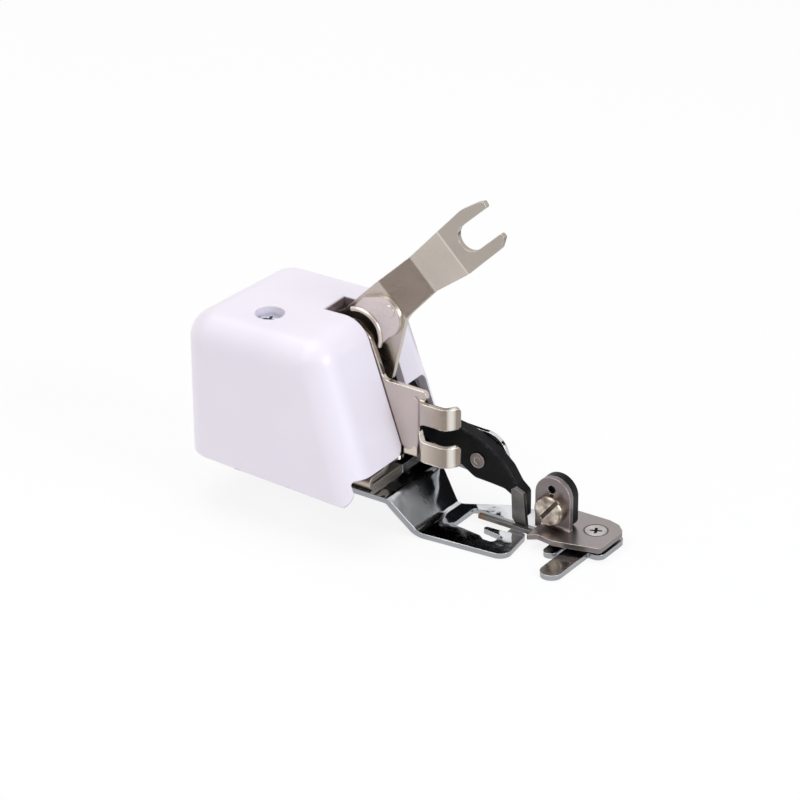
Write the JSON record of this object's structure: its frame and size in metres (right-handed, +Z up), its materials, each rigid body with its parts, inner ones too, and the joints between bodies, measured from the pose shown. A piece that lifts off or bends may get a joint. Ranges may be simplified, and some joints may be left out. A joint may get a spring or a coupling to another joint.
{
  "type": "sewing machine presser foot",
  "caption": "Side-cutter presser foot: chrome sole, folded low-shank bracket, white housing, and a fork lever that rocks a knife arm against a fixed knife.",
  "frame": {"origin": "the needle's point of passage on the underside of the sole", "axes": "+X to the right, +Y to the back of the machine, +Z up along the needle"},
  "size_m": [0.0325, 0.0755, 0.0636],
  "materials": {
    "chrome": "bright chrome plate",
    "nickel": "satin nickel plate",
    "bright_steel": "bright screws and pins",
    "knife_steel": "dark ground steel",
    "black_oxide": "satin black",
    "white_plastic": "glossy moulded white",
    "spring_steel": "drawn spring wire"
  },
  "bodies": {
    "frame": {"sole_plate": "chrome", "fixed_knife": "knife_steel", "guide_plate": "nickel", "clamp_block": "black_oxide", "clamp_screw": "bright_steel", "guide_screw": "bright_steel", "arm_rivet": "bright_steel", "side_plate": "chrome", "shank_bracket": "nickel", "base_rivets": "bright_steel", "cover_post": "bright_steel", "housing_cover": "white_plastic", "cover_screw": "bright_steel", "lever_pin": "bright_steel", "lever_spacer_left": "bright_steel", "lever_spacer_right": "bright_steel", "return_spring": "spring_steel"},
    "lever": {"fork_lever": "nickel", "lever_tab": "nickel", "tab_rivet": "bright_steel", "drive_pin": "bright_steel"},
    "knife": {"knife_arm": "black_oxide", "moving_blade": "knife_steel", "blade_rivets": "bright_steel"}
  },
  "joints": [
    {"name": "lever_swing", "type": "hinge", "parent": "frame", "child": "lever", "pos_m": [0, 0.042, 0.032], "axis": [1, 0, 0], "range_deg": [0, 34], "stiffness_Nm_per_rad": 0.02, "springref_deg": -28.65, "deforming": ["return_spring"]},
    {"name": "knife_swing", "type": "hinge", "parent": "frame", "child": "knife", "pos_m": [0, 0.00383, 0.0115], "axis": [1, 0, 0], "range_deg": [-10.8, 0]}
  ],
  "couplings": [
    {"joint": "knife_swing", "follows": "lever_swing", "ratio": -0.31}
  ]
}
